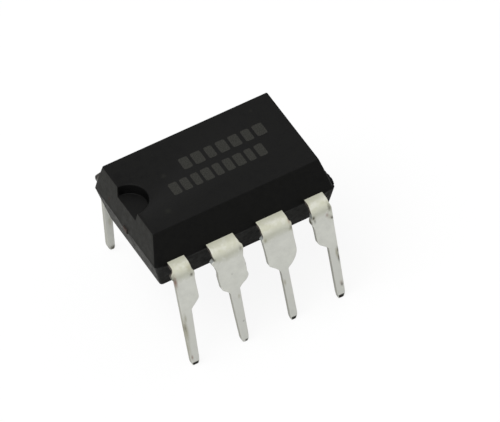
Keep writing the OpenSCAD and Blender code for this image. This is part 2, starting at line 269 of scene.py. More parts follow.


# Resin paled by half the patches' share plus half the grain's, then the end faces' painted sheen, the notch
# wall's painted shade and the scuffs laid over it. The roughness follows the patches.
def makeEpoxy():
    look = epoxyLook
    material = newMaterial("mouldedEpoxy")
    place = addNode(material, "ShaderNodeTexCoord").outputs["Object"]
    patches = addNoise(material, place, look["patchSize"], 3.0, 0.6)
    grain = addNoise(material, place, look["grainSize"], 2.0, 0.65)
    share = addNode(material, "ShaderNodeMapRange", {"From Min": 0.35, "From Max": 0.65},
                    {"Value": patches.outputs["Fac"]})
    grainShare = addNode(material, "ShaderNodeMapRange", {"From Min": 0.3, "From Max": 0.75, "To Max": 0.5},
                         {"Value": grain.outputs["Fac"]})
    total = addNode(material, "ShaderNodeMath", {"operation": "MULTIPLY_ADD", 1: 0.5},
                    {0: share.outputs[0], 2: grainShare.outputs[0]})
    colour = addMix(material, total.outputs[0], look["resin"], look["paler"])
    # painted sheen: the end faces are paled in patches, standing in for their low-angle reflection
    endFace = addNode(material, "ShaderNodeAttribute", {"attribute_name": "endFace"})
    endSheenPatches = addNode(material, "ShaderNodeMapRange", {"From Min": 0.3, "From Max": 0.7, "To Min": 0.55},
                   {"Value": patches.outputs["Fac"], "To Max": endFace.outputs["Fac"]})
    endSheenShare = addNode(material, "ShaderNodeMath", {"operation": "MULTIPLY"},
                      {0: endSheenPatches.outputs[0], 1: endFace.outputs["Fac"]})
    colour = addMix(material, endSheenShare.outputs[0], colour, look["endSheen"])
    # painted shade: the notch's wall is darkened, standing in for the shade in its recess
    notchWall = addNode(material, "ShaderNodeAttribute", {"attribute_name": "notchWall"})
    colour = addMix(material, notchWall.outputs["Fac"], colour, look["wallShade"])
    # each scuff fades with the distance from its middle plus the grain times its radius
    for spot, radius, tone in look["scuffs"]:
        away = addNode(material, "ShaderNodeVectorMath", {"operation": "DISTANCE", 1: [mm * c for c in spot]},
                       {0: place})
        frayed = addNode(material, "ShaderNodeMath", {"operation": "MULTIPLY_ADD", 1: radius * mm},
                         {0: grain.outputs["Fac"], 2: away.outputs["Value"]})
        edge = {"From Min": 1.5 * radius * mm, "From Max": 0.6 * radius * mm}
        mask = addNode(material, "ShaderNodeMapRange", edge, {"Value": frayed.outputs[0]})
        colour = addMix(material, mask.outputs[0], colour, tone)
    middle, spread = look["roughness"], look["roughnessSpread"]
    ends = {"From Min": 0.35, "From Max": 0.65, "To Min": middle - spread, "To Max": middle + spread}
    roughness = addNode(material, "ShaderNodeMapRange", ends, {"Value": patches.outputs["Fac"]})
    skin = addNode(material, "ShaderNodeBump", {"Strength": 0.5, "Distance": look["patchDepth"] * mm},
                   {"Height": patches.outputs["Fac"]})
    bump = addNode(material, "ShaderNodeBump", {"Strength": 0.5, "Distance": look["grainDepth"] * mm},
                   {"Height": grain.outputs["Fac"], "Normal": skin.outputs[0]})
    surface = addNode(material, "ShaderNodeBsdfPrincipled",
                      {"Specular IOR Level": look["specular"], "IOR": 1.5},
                      {"Base Color": colour, "Roughness": roughness.outputs[0], "Normal": bump.outputs[0]})
    addNode(material, "ShaderNodeOutputMaterial", {}, {"Surface": surface.outputs[0]})
    return material


# Tin plate over stamped copper alloy: electroplated satin tin, with bare or smeared metal where it was
# sheared after plating, and painted shade at the bend, by the moulding and on the shoulders' sides. The eye
# sees a soft light grey, faintly yellow where the bend has drawn the plating out.
plateLook = {
    "flat": "#e3e4de",
    "flatDull": "#d7d8d2",
    "bend": "#c3c3ac",
    # painted shade where the leg turns into the bend and next to the moulding
    "bendShadeTone": "#b4b5a0",
    "bendPale": "#d6d6ca",
    "legDull": "#dadbd6",
    "side": "#b6b6ae",
    "tieSide": "#9a9f9f",
    "shoulderSideShade": "#3a2b24",  # painted shade, dark and reddish, on the shoulder's sheared sides
    # bare copper of the sheared tip, darkened further as painted contact shade where the tip meets the floor
    "darkCutAndShade": "#15130d",
    "darkStain": "#4b4735",
    "brownStain": "#8f8966",
    "redStain": "#8a6a5a",
    "grainSize": 0.07,  # mm, coarser than the plating's real grain, so that it shows
    "grainDepth": 0.004,
    "patchSize": 0.5,
    "blotchSize": 0.3,  # where the bend has drawn the plating out
    "roughness": 0.4,
    "bendRoughness": 0.6,
    "bendMetallic": 0.15,
    "sideMetallic": 0.2,
    "metallic": 0.62,  # the porous tin scatters a little light as a white powder would
}


# Two tones of tin in patches, with a layer for each kind of wear and each painted shade, masked by the
# attribute that carries its name
def makePlate():
    look = plateLook
    material = newMaterial("satinTinPlate")
    place = addNode(material, "ShaderNodeTexCoord").outputs["Object"]
    patches = addNoise(material, place, look["patchSize"], 4.0, 0.65)
    grain = addNoise(material, place, look["grainSize"], 2.0, 0.6)
    share = addNode(material, "ShaderNodeMapRange", {"From Min": 0.35, "From Max": 0.75},
                    {"Value": patches.outputs["Fac"]})
    colour = addMix(material, share.outputs[0], look["flat"], look["flatDull"])
    blotchNoise = addNoise(material, place, look["blotchSize"], 3.0, 0.6)
    blotches = addNode(material, "ShaderNodeMapRange", {"From Min": 0.34, "From Max": 0.66},
                       {"Value": blotchNoise.outputs["Fac"]})
    bendColour = addMix(material, blotches.outputs[0], look["bend"], look["bendPale"])
    # Some layers are painted shade: the bend's band with the shade by the moulding, the shoulders' dark
    # sides, and part of the tips' dark cut faces
    layers = [("nearTip", look["legDull"], 0.5, blotches), ("bendTint", bendColour, 0.3, blotches),
              ("bendShade", look["bendShadeTone"], 0.5, blotches), ("sheared", look["side"], 0.15, grain),
              ("tieCut", look["tieSide"], 0.3, grain), ("shoulderSideShade", look["shoulderSideShade"], 0.3, grain),
              ("brownish", look["brownStain"], 0.6, grain), ("reddish", look["redStain"], 0.6, grain),
              ("darkened", look["darkStain"], 0.6, grain), ("darkCutAndShade", look["darkCutAndShade"], 0.1, grain)]
    # the mask plus the noise times the raggedness, spread to 0 to 1, is never more than the mask itself
    for attributeName, tone, raggedness, breaker in layers:
        mask = addNode(material, "ShaderNodeAttribute", {"attribute_name": attributeName})
        broken = addNode(material, "ShaderNodeMath", {"operation": "MULTIPLY_ADD", 1: raggedness},
                         {0: breaker.outputs[0], 2: mask.outputs["Fac"]})
        firm = addNode(material, "ShaderNodeMapRange",
                       {"From Min": 0.5 * raggedness, "From Max": 1 + 0.5 * raggedness},
                       {"Value": broken.outputs[0]})
        held = addNode(material, "ShaderNodeMath", {"operation": "MINIMUM"},
                       {0: firm.outputs[0], 1: mask.outputs["Fac"]})
        colour = addMix(material, held.outputs[0], colour, tone)
    bendMask = addNode(material, "ShaderNodeAttribute", {"attribute_name": "bendTint"})
    roughBase = addNode(material, "ShaderNodeMapRange",
                        {"To Min": look["roughness"], "To Max": look["bendRoughness"]},
                        {"Value": bendMask.outputs["Fac"]})
    roughness = addNode(material, "ShaderNodeMath", {"operation": "MULTIPLY_ADD", 1: 0.15},
                        {0: patches.outputs["Fac"], 2: roughBase.outputs[0]})
    sideMask = addNode(material, "ShaderNodeAttribute", {"attribute_name": "sheared"})
    faceMetallic = addNode(material, "ShaderNodeMapRange",
                           {"To Min": look["metallic"], "To Max": look["bendMetallic"]},
                           {"Value": bendMask.outputs["Fac"]})
    metallic = addNode(material, "ShaderNodeMapRange", {"To Max": look["sideMetallic"]},
                       {"Value": sideMask.outputs["Fac"], "To Min": faceMetallic.outputs[0]})
    bump = addNode(material, "ShaderNodeBump", {"Strength": 0.35, "Distance": look["grainDepth"] * mm},
                   {"Height": grain.outputs["Fac"]})
    surface = addNode(material, "ShaderNodeBsdfPrincipled", {},
                      {"Base Color": colour, "Metallic": metallic.outputs[0],
                       "Roughness": roughness.outputs[0], "Normal": bump.outputs[0]})
    addNode(material, "ShaderNodeOutputMaterial", {}, {"Surface": surface.outputs[0]})
    return material


# The other finishes share one build: two tones in patches of a given size in mm, and a fine bump.
# Sheared copper alloy: bare and oxidised where the tie bars were cut. Marking ink: thin, dull and worn.
# Silver glue: cured and grainy. Silicon: polished, so dark and smooth. Gold: drawn wire, soft and bright.
otherLooks = {
    "shearedCopper": {"tones": ("#42302a", "#211c19"), "metallic": 0.3, "roughness": 0.55, "size": 0.07},
    "markingInk": {"tones": ("#1c1c1a", "#3c3c38"), "metallic": 0.0, "roughness": 0.6, "size": 0.035},
    "silverGlue": {"tones": ("#a6a6a1", "#8e8e88"), "metallic": 0.6, "roughness": 0.6, "size": 0.05},
    "polishedSilicon": {"tones": ("#4b4e58", "#565a66"), "metallic": 0.3, "roughness": 0.12, "size": 0.3},
    "drawnGold": {"tones": ("#f0c35a", "#e2b04a"), "metallic": 1.0, "roughness": 0.25, "size": 0.02},
}
fineBump = 0.003  # mm, the depth of that bump


# One of the other finishes by its name. The ink has the epoxy's own matt skin.
def makeTwoTone(name):
    look = otherLooks[name]
    material = newMaterial(name)
    place = addNode(material, "ShaderNodeTexCoord").outputs["Object"]
    patches = addNoise(material, place, look["size"], 3.0, 0.6)
    share = addNode(material, "ShaderNodeMapRange", {"From Min": 0.38, "From Max": 0.62},
                    {"Value": patches.outputs["Fac"]})
    colour = addMix(material, share.outputs[0], *look["tones"])
    bump = addNode(material, "ShaderNodeBump", {"Strength": 0.3, "Distance": fineBump * mm},
                   {"Height": patches.outputs["Fac"]})
    surface = addNode(material, "ShaderNodeBsdfPrincipled",
                      {"Metallic": look["metallic"], "Roughness": look["roughness"]},
                      {"Base Color": colour, "Normal": bump.outputs[0]})
    if look["metallic"] == 0:
        surface.inputs["Specular IOR Level"].default_value = epoxyLook["specular"]
    addNode(material, "ShaderNodeOutputMaterial", {}, {"Surface": surface.outputs[0]})
    return material


mouldedEpoxy = makeEpoxy()
satinTinPlate = makePlate()
finishes = {name: makeTwoTone(name) for name in otherLooks}
print("materials made")

# The moulding, by the sizes of the part's own source but for the end draft, the gate and the mould's wear
bodyValues = {
    "length": 9.25, "width": 6.1,  # at the parting line
    "underside": 4.1, "parting": 5.74, "top": 7.45,
    "endDraft": 11.3, "sideDraft": 17,  # degrees
    "cornerRadius": 0.17, "cornerTop": 0.05, "cornerUnder": 0.13,  # sharper towards the flats
    "topRound": 0.04, "bottomRound": 0.03,
    "landHalf": 0.02, "flash": 0.005,  # the plain band at the parting line and the flash on it
    "mismatch": (0.032, -0.03), "lowerLonger": 0.032,  # how far the lower half of the mould sat off the upper
    "endLift": 0.1,  # how much higher the parting line runs on the end faces, beside the tie bars
    "liftAlong": (4.1, 4.4), "liftAcross": (0.4, 0.7),  # where along and across the body that lift sets in
    "notchRadius": 1.0, "notchDepth": 0.5, "notchDraft": 12, "rimRound": 0.1, "floorRound": 0.03,
    "rimLeaving": 108,  # degrees, where the rim's arc reaches the top face
    "ejectorRadius": 0.75, "ejectorDepth": 0.08, "ejectorSpacing": 4.6, "ejectorRound": 0.02,
    "gateWidth": 0.8, "gateHeight": 0.44, "gateRound": 0.04,
    "gateRise": 0.24,  # how far its top lies over the parting line
    "gateStub": 0.16, "gateOffset": 2.4, "gateRough": 0.07, "gateRoot": 4.35,
}


# Points round a rounded rectangle: the corner that each belongs to, as signs that blend along the sides,
# and the cosine and sine of its direction from that corner's centre
def roundedOutline(cornerSteps, longSteps, shortSteps):
    signs, offsets = [], []
    corners = [(1, -1, -90), (1, 1, 0), (-1, 1, 90), (-1, -1, 180)]
    for k, (signX, signY, first) in enumerate(corners):
        angles = np.radians(first + np.linspace(0, 90, cornerSteps + 1))
        signs += [(signX, signY)] * len(angles)
        offsets += list(zip(np.cos(angles), np.sin(angles)))
        nextX, nextY, nextFirst = corners[(k + 1) % 4]
        steps = shortSteps if k % 2 == 0 else longSteps
        last = (math.cos(math.radians(nextFirst)), math.sin(math.radians(nextFirst)))
        for share in np.linspace(0, 1, steps + 1)[1:-1]:
            signs.append((signX + (nextX - signX) * share, signY + (nextY - signY) * share))
            offsets.append(last)
    return np.array(signs), np.array(offsets)


# Heights, half sizes and corner radii of the moulding's rings. Each face is straight from the land to a
# rounded edge, whose arc touches both faces: its centre lies inside the edge by radius x (1 - sin draft) /
# cos draft. The corner radius changes with the cube of the share of the way, so that it holds longest near
# the flats.
def bodyLevels():
    values = bodyValues
    drafts = np.radians([values["endDraft"], values["sideDraft"]])
    full = np.array([values["length"] / 2, values["width"] / 2])
    flatInset = 0.04  # mm, how far inside the rounded edge the cap begins

    # the rounded edge between a half's faces and its flat, then the rim of the flat
    def roundedEdge(edgeHeight, radius, up, corner):
        rise = abs(edgeHeight - values["parting"])
        edge = full - rise * np.tan(drafts)
        inset = radius * (1 - np.sin(drafts)) / np.cos(drafts)
        rings = []
        for angle in np.radians(np.linspace(12, 90, 7)):
            height = edgeHeight - up * radius * (1 - math.sin(angle))
            size = edge - inset + radius * math.cos(angle)
            rings.append((height, *size, corner + 0.5 * radius * math.cos(angle)))
        flat = rings[-1]
        rings.append((edgeHeight, flat[1] - flatInset, flat[2] - flatInset, flat[3]))
        return rings

    # rings on the straight faces between two others
    def between(low, high, shares, cornerShares):
        low, high = np.array(low), np.array(high)
        rings = low + (high - low) * shares[:, None]
        rings[:, 3] = low[3] + (high[3] - low[3]) * cornerShares
        return [tuple(ring) for ring in rings]

    lower = roundedEdge(values["underside"], values["bottomRound"], -1, values["cornerUnder"])[::-1]
    upper = roundedEdge(values["top"], values["topRound"], 1, values["cornerTop"])
    half, flash = values["landHalf"], values["flash"]
    parting, radius = values["parting"], values["cornerRadius"]
    land = [(parting - half, *full, radius), (parting - 0.35 * half, *(full + flash), radius + flash),
            (parting + 0.35 * half, *(full + flash), radius + flash), (parting + half, *full, radius)]
    shares = np.linspace(0, 1, 9)[1:-1]
    under = between(lower[-1], land[0], shares, shares ** 3)
    over = between(land[-1], upper[0], shares, 1 - (1 - shares) ** 3)
    return np.array(lower + under + land + over + upper)


# Each ring is a rounded rectangle of its level's size: the corner's centre plus the radius times the
# direction. The lower half is moved by the mismatch. Near the ends the parting line is lifted, by less
# towards the flats.
def makeBody():
    values = bodyValues
    levels = bodyLevels()
    signs, offsets = roundedOutline(8, 40, 26)
    height, halfX, halfY, radius = (levels[:, k][:, None] for k in range(4))
    x = signs[:, 0] * (halfX - radius) + radius * offsets[:, 0]
    y = signs[:, 1] * (halfY - radius) + radius * offsets[:, 1]
    low = height < values["parting"] - 0.001
    x = x + np.where(low, values["mismatch"][0] + values["lowerLonger"] * np.sign(x), 0)
    y = y + np.where(low, values["mismatch"][1], 0)
    span = np.where(low, values["parting"] - values["underside"], values["top"] - values["parting"])
    atEnd = smoothStep(*values["liftAlong"], np.abs(x)) * smoothStep(*values["liftAcross"], np.abs(y))
    lifted = height + values["endLift"] * atEnd * (1 - np.abs(height - values["parting"]) / span)
    points = np.stack([x, y, lifted], axis=-1)
    return makePiece("epoxy_moulding", points, tubeFaces(*x.shape), mouldedEpoxy)


# A turned shape: a profile of radius and height carried round an upright axis, with a flat cap at each end
def turnedPiece(name, profile, centre, around=96):
    profile = np.array(profile)
    angle = np.linspace(0, 2 * math.pi, around, endpoint=False)
    x = centre[0] + profile[:, 0][:, None] * np.cos(angle)
    y = centre[1] + profile[:, 0][:, None] * np.sin(angle)
    z = np.broadcast_to(profile[:, 1][:, None], x.shape)
    return makePiece(name, np.stack([x, y, z], axis=-1), tubeFaces(*x.shape), mouldedEpoxy)


# Side view of the core that leaves the notch, as radius and height: floor, rounded foot, wall that leans
# out by the draft, and an arc for the rim whose centre lies outside the wall by its radius / cos draft
def notchProfile():
    values = bodyValues
    draft = math.radians(values["notchDraft"])
    top, floor = values["top"], values["top"] - values["notchDepth"]
    foot, rim = values["floorRound"], values["rimRound"]
    middle, past, above = 0.02, 0.06, 0.3  # mm, where the profile begins, and how far it runs on past the rim
    footX = values["notchRadius"] - (values["notchDepth"] - foot) * math.tan(draft) - foot / math.cos(draft)
    rows = [(middle, floor)]
    rows += [(footX + foot * math.cos(a), floor + foot + foot * math.sin(a))
             for a in np.linspace(-math.pi / 2, -draft, 5)]
    leaving = math.radians(values["rimLeaving"])
    rimZ = top - rim * math.sin(leaving)
    rimX = values["notchRadius"] - (top - rimZ) * math.tan(draft) + rim / math.cos(draft)
    rows += [(rimX + rim * math.cos(a), rimZ + rim * math.sin(a))
             for a in np.linspace(math.pi - draft, leaving, 8)]
    outside = rows[-1][0] + past
    rows += [(outside, top - past / math.tan(leaving)), (outside, top + above), (middle, top + above)]
    return rows


# The broken gate: rings of a rounded rectangle from inside the moulding to its end, then closing on a rough
# face whose depth is a sum of two sines of the place across and upright
def makeGate():
    values = bodyValues
    signs, offsets = roundedOutline(3, 18, 5)
    root = values["gateRoot"]
    out = values["length"] / 2 + values["gateStub"]
    scales = np.concatenate([[1, 1], np.linspace(0.97, 0.02, 10)])
    starts = np.concatenate([[root, out - 0.03], np.full(10, out)])[:, None]
    halfY, halfZ, radius = values["gateWidth"] / 2, values["gateHeight"] / 2, values["gateRound"]
    across = (signs[:, 0] * (halfY - radius) + radius * offsets[:, 0])[None] * scales[:, None]
    upright = (signs[:, 1] * (halfZ - radius) + radius * offsets[:, 1])[None] * scales[:, None]
    waves = 0.25 * np.sin(7 * across + 2 * np.sin(17 * upright))
    rough = 0.6 + waves + 0.15 * np.sin(23 * across - 19 * upright + 1)
    along = starts - np.where(starts > root, values["gateRough"] * rough, 0)
    middle = values["parting"] + values["gateRise"] - halfZ
    points = np.stack([along, across - values["gateOffset"], upright + middle], axis=-1)
    return makePiece("gateStub", points, tubeFaces(*across.shape), mouldedEpoxy)


# Cuts the notch and the ejector marks out of the moulding and joins the gate to it
def cutAndJoin(body):
    values = bodyValues
    tools = [("DIFFERENCE", turnedPiece("notchCore", notchProfile(), (-topHalfLength(), 0)))]
    low, up = values["underside"], values["underside"] + values["ejectorDepth"]
    pin, soft = values["ejectorRadius"], values["ejectorRound"]
    middle, below = 0.02, 0.2  # mm, where the profile begins, and how far the pin stands out of the underside
    pinProfile = [(middle, low - below), (pin, low - below), (pin, up - soft),
                  (pin - 0.3 * soft, up - 0.3 * soft), (pin - soft, up), (middle, up)]
    for side in (-1, 1):
        place = (side * values["ejectorSpacing"] / 2, 0)
        tools.append(("DIFFERENCE", turnedPiece("ejectorPin", pinProfile, place)))
    tools.append(("UNION", makeGate()))
    for operation, tool in tools:
        modifier = body.modifiers.new(operation.lower(), "BOOLEAN")
        modifier.operation = operation
        modifier.object = tool
        modifier.solver = "EXACT"
    bpy.context.view_layer.update()
    cut = bpy.data.meshes.new_from_object(body.evaluated_get(bpy.context.evaluated_depsgraph_get()))
    body.modifiers.clear()
    body.data = cut
    for _, tool in tools:
        bpy.data.objects.remove(tool)
    cut.polygons.foreach_set("use_smooth", np.full(len(cut.polygons), True))
    cut.set_sharp_from_angle(angle=math.radians(38))


# Half the length of the top face: the half length at the parting line less the rise x tan draft
def topHalfLength():
    values = bodyValues
    rise = values["top"] - values["parting"]
    return values["length"] / 2 - rise * math.tan(math.radians(values["endDraft"]))


# Tells the material which faces are end faces and which are the notch's wall, by their normals and places,
# for the painted sheen on the ends and the painted shade on the wall
def markFaces(body):
    values, faces = bodyValues, body.data.polygons
    normals, centres = np.zeros(len(faces) * 3), np.zeros(len(faces) * 3)
    faces.foreach_get("normal", normals)
    faces.foreach_get("center", centres)
    normals, centres = normals.reshape(-1, 3), centres.reshape(-1, 3) / mm
    topHalf, slack = topHalfLength(), 0.02
    atEnd = (np.abs(normals[:, 0]) > 0.9) & (np.abs(centres[:, 0]) > topHalf - 0.1)
    fromPin = np.hypot(centres[:, 0] + topHalf, centres[:, 1])
    inNotch = (fromPin < values["notchRadius"] + slack) & (centres[:, 0] > slack - topHalf)
    isWall = inNotch & (np.abs(normals[:, 2]) < 0.5) & (centres[:, 2] > values["top"] - values["notchDepth"])
    for name, share in (("endFace", atEnd), ("notchWall", isWall)):
        body.data.attributes.new(name, "FLOAT", "FACE").data.foreach_set("value", share.astype(float))


body = makeBody()
cutAndJoin(body)
markFaces(body)
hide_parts("epoxy_body")
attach(body, "root")
print("moulding made with", len(body.data.polygons), "faces")

# The leads, by the sizes of the part's own source. Each edge list runs up the leg from the tip: distance
# from the tip, then distance from the pin's centre line, as the stamping tool and the handling left it.
leadValues = {
    "pitch": 2.54, "sheet": 0.254, "bendRadius": 0.2, "splay": 5.8,
    "bendOut": 3.3898, "bendUp": 5.413, "sheetTop": 5.867,
    "legRun": 5.461, "tipOut": 4.1407,
    "frameOffset": 0.08,  # how far the lead frame sits off the middle of the body, towards pins 5 to 8
    "root": 2.55,  # distance from the long centre line at which a finger widens into the lead
    "wideHalf": 0.71, "narrowHalf": 0.22,  # half widths there
    "lockStep": 0.12,  # how much narrower a finger is on each side
    "endFinger": (0.73, 1.23), "endFingerAt": 2.05,  # its slanted tip, from both centre lines
    "midFinger": 1.55, "midFingerAt": (0.5, 1.0),
    "slantHeight": 0.2, "slantDepth": 0.03,  # the sheared tip thins out by this much
    "outerRound": 0.03, "innerRound": 0.015, "endRound": 0.03,
    "stationStep": 0.025,
    "cornerBlur": 0.025,  # softens the corners of the edge lists
}
leftEdges = {
    1: [(0, -0.16), (0.1, -0.2), (0.22, -0.23), (3.2, -0.235), (5.3, -0.24), (5.37, -0.34), (5.45, -0.36),
        (5.62, -0.36), (5.7, -0.24), (5.8, -0.19)],
    2: [(0, -0.04), (0.07, -0.11), (0.24, -0.155), (1.9, -0.22), (3.12, -0.255), (3.2, -0.28), (3.33, -0.39),
        (3.49, -0.57), (3.64, -0.64), (3.9, -0.66), (4.3, -0.69), (4.6, -0.66), (4.96, -0.74), (5.31, -0.9),
        (5.36, -0.88), (5.4, -0.76), (5.5, -0.72), (5.65, -0.76), (5.9, -0.73)],
    3: [(0, -0.1), (0.22, -0.14), (2.9, -0.17), (3.06, -0.19), (3.24, -0.27), (3.42, -0.42), (3.64, -0.66),
        (3.77, -0.71), (4.56, -0.74), (5.16, -0.79), (5.28, -0.82), (5.34, -0.87), (5.38, -0.77),
        (5.5, -0.73), (5.65, -0.74), (5.9, -0.71)],
    4: [(0, -0.165), (0.1, -0.195), (0.4, -0.215), (3.02, -0.22), (3.21, -0.24), (3.37, -0.38), (3.6, -0.63),
        (3.76, -0.71), (4.51, -0.73), (4.76, -0.76), (4.9, -0.83), (5.0, -0.85), (5.15, -0.84),
        (5.25, -0.79), (5.4, -0.75), (5.65, -0.76), (5.9, -0.72)],
    8: [(0, 0.0), (0.06, -0.07), (0.14, -0.12), (0.25, -0.16), (0.4, -0.18), (5.1, -0.19), (5.18, -0.33),
        (5.28, -0.37), (5.5, -0.375), (5.56, -0.3), (5.61, -0.13), (5.8, -0.1)],
}
rightEdges = {
    1: [(0, 0.12), (0.1, 0.155), (0.22, 0.18), (0.4, 0.2), (1.8, 0.245), (3.1, 0.29), (3.3, 0.3),
        (3.38, 0.36), (3.62, 0.6), (3.76, 0.73), (3.86, 0.765), (4.75, 0.745), (5.1, 0.75), (5.25, 0.775),
        (5.45, 0.775), (5.55, 0.68)],
    2: [(0, 0.13), (0.1, 0.195), (0.4, 0.23), (3.1, 0.25), (3.27, 0.25), (3.42, 0.4), (3.56, 0.61),
        (3.68, 0.73), (3.8, 0.785), (3.9, 0.785), (4.05, 0.75), (4.5, 0.755), (4.75, 0.735), (5.0, 0.69),
        (5.4, 0.76), (5.48, 0.77), (5.62, 0.77), (5.7, 0.68), (5.9, 0.65)],
    3: [(0, 0.12), (0.1, 0.165), (0.26, 0.22), (0.4, 0.23), (3.1, 0.205), (3.16, 0.25), (3.3, 0.42),
        (3.46, 0.555), (3.63, 0.665), (3.84, 0.745), (4.06, 0.78), (4.8, 0.75), (5.5, 0.745), (5.56, 0.76),
        (5.64, 0.755), (5.69, 0.67)],
    4: [(0, 0.09), (0.12, 0.14), (0.28, 0.19), (0.6, 0.2), (3.0, 0.235), (4.65, 0.255), (5.0, 0.27),
        (5.5, 0.27), (5.66, 0.22)],
    8: [(0, 0.12), (0.06, 0.165), (0.2, 0.19), (3.1, 0.21), (3.3, 0.24), (3.38, 0.36), (3.62, 0.6),
        (3.76, 0.71), (5.5, 0.71), (5.6, 0.68)],
}
# The bare sheared face at a lead's end, made darker by painted contact shade: its left end, its height and
# how bare it is. Others are like pin 3's.
cutEnds = {1: (-0.3, 0.2, 1.0), 2: (0.02, 0.17, 0.8), 3: (-0.3, 0.21, 1.0), 4: (-0.3, 0.23, 1.0)}
# What handling and storage left on a lead: kind, distance from the tip, distance from the centre line, half
# length, half width and strength
stains = {
    1: [("darkened", 5.3, 0.6, 0.08, 0.06, 0.8), ("reddish", 5.22, -0.22, 0.26, 0.06, 0.9),
        ("darkened", 5.4, -0.33, 0.2, 0.08, 0.7), ("brownish", 2.9, -0.1, 0.2, 0.05, 0.5),
        ("brownish", 2.2, -0.18, 0.6, 0.08, 0.6), ("darkened", 2.38, -0.2, 0.2, 0.04, 0.45),
        ("brownish", 1.2, -0.2, 0.5, 0.06, 0.35), ("reddish", 0.52, -0.14, 0.1, 0.04, 0.7),
        ("brownish", 5.62, 0.58, 0.14, 0.12, 0.35)],
    2: [("darkened", 5.5, 0.63, 0.08, 0.06, 0.5), ("darkened", 4.26, -0.01, 0.04, 0.04, 0.4),
        ("brownish", 2.82, 0.12, 0.1, 0.05, 0.4), ("darkened", 1.28, 0.12, 0.04, 0.04, 0.5),
        ("darkened", 4.5, 0.76, 0.05, 0.04, 0.5), ("darkened", 5.46, -0.72, 0.06, 0.05, 0.8)],
    3: [("brownish", 5.27, -0.66, 0.1, 0.06, 0.6), ("darkened", 5.4, 0.68, 0.1, 0.05, 0.6),
        ("reddish", 5.67, 0.66, 0.08, 0.04, 0.6), ("brownish", 5.31, 0.62, 0.06, 0.05, 0.4),
        ("brownish", 2.39, -0.1, 0.14, 0.05, 0.5)],
    4: [("darkened", 5.3, -0.7, 0.09, 0.06, 1.0), ("darkened", 5.1, -0.66, 0.1, 0.04, 0.6),
        ("darkened", 5.06, -0.86, 0.13, 0.05, 1.0), ("darkened", 4.89, 0.2, 0.07, 0.05, 1.0),
        ("reddish", 5.15, -0.02, 0.09, 0.06, 0.6),
        ("darkened", 5.5, 0.15, 0.14, 0.06, 0.7), ("brownish", 5.0, 0.1, 0.12, 0.1, 0.4),
        ("darkened", 2.9, 0.19, 0.14, 0.035, 0.8), ("darkened", 2.42, 0.17, 0.2, 0.035, 0.9),
        ("brownish", 2.75, 0.12, 0.22, 0.05, 0.6), ("darkened", 0.79, 0.1, 0.08, 0.04, 0.8),
        ("reddish", 0.9, 0.08, 0.12, 0.06, 0.4)],
    8: [("darkCutAndShade", 5.38, -0.4, 0.3, 0.1, 1.6), ("darkCutAndShade", 5.62, -0.24, 0.1, 0.2, 1.0),
        ("darkened", 0.12, 0.08, 0.14, 0.12, 0.9), ("brownish", 2.1, 0.05, 0.3, 0.07, 0.4)],
    7: [("brownish", 5.4, -0.7, 0.08, 0.07, 0.6), ("darkened", 3.3, 0.1, 0.06, 0.05, 0.4)],
    6: [("darkened", 5.4, 0.66, 0.08, 0.05, 0.6), ("brownish", 1.6, -0.08, 0.2, 0.06, 0.4)],
    5: [("brownish", 5.35, -0.74, 0.1, 0.08, 0.6), ("reddish", 0.7, 0.05, 0.1, 0.05, 0.4)],
}
# The distances from the tip over which each kind of even wear or painted shade sets in or fades out
wearPlaces = {
    "nearTip": (2.6, 3.8), "bend": (5.241, 5.741), "rising": (5.02, 5.38), "risen": (5.45, 5.74),
    "topOfBend": (5.93, 6.22), "tieCut": (5.22, 5.34), "tieEnd": (5.5, 5.65), "shoulderSideShade": (5.42, 5.55),
}


# Distances from the body's short centre line of a finger's two edges, at distances from its long centre
# line
def fingerEdges(column, out):
    values = leadValues
    side = -1 if column < 2 else 1
    centre = abs(column - 1.5) * values["pitch"]
    root, wide, narrow, step = values["root"], values["wideHalf"], values["narrowHalf"], values["lockStep"]
    rootIn = root - 0.01
    if column in (0, 3):
        tip, shoulder = values["endFinger"]
        place = values["endFingerAt"]
        near = np.interp(out, [tip, shoulder, rootIn, root],
                         [place, place, centre - wide + step, centre - wide])
        far = np.interp(out, [tip, rootIn, root], [place, centre + narrow - step, centre + narrow])
    else:
        tip = values["midFinger"]
        low, high = values["midFingerAt"]
        near = np.interp(out, [tip, rootIn, root], [low, centre - wide + step, centre - wide])
        far = np.interp(out, [tip, rootIn, root], [high, centre + wide - step, centre + wide])
    edges = np.stack([near, far]) * side
    return edges.min(axis=0), edges.max(axis=0)


# The inner face's course: level out of the moulding, round an arc, then straight down the leg. Each station
# has its point, the direction out through the sheet, and its distance from the tip along the middle of the
# sheet. Stations are close together where the outline or the course changes.
def leadCourse(column):
    values = leadValues
    splay = math.radians(values["splay"])
    inner = values["bendRadius"]
    start = values["endFinger"][0] + 0.005 if column in (0, 3) else values["midFinger"]
    step = values["stationStep"]
    levelOut = np.concatenate([np.arange(start, 2.5, 0.12), [2.53, 2.54, 2.55, 2.58],
                               np.arange(2.7, 2.98, 0.09), np.arange(3.0, values["bendOut"], step)])
    angles = np.radians(np.linspace(0, 90 - values["splay"], 26))
    up = np.concatenate([np.arange(values["legRun"], 0.12, -step),
                         [0.1, 0.08, 0.06, 0.045, 0.03, 0.02, 0.012, 0.006, 0.002, 0.0]])[1:]
    y = np.concatenate([-levelOut, -values["bendOut"] - inner * np.sin(angles),
                        -values["tipOut"] + up * math.sin(splay)])
    z = np.concatenate([np.full(len(levelOut), values["sheetTop"] - values["sheet"]),
                        values["bendUp"] + inner * np.cos(angles), up * math.cos(splay)])
    turn = np.concatenate([np.zeros(len(levelOut)), angles, np.full(len(up), math.pi / 2 - splay)])
    middle = inner + values["sheet"] / 2
    arcUp = values["legRun"] + (angles[-1] - angles) * middle
    fromTip = np.concatenate([arcUp[0] + values["bendOut"] - levelOut, arcUp, up])
    return y, z, turn, fromTip


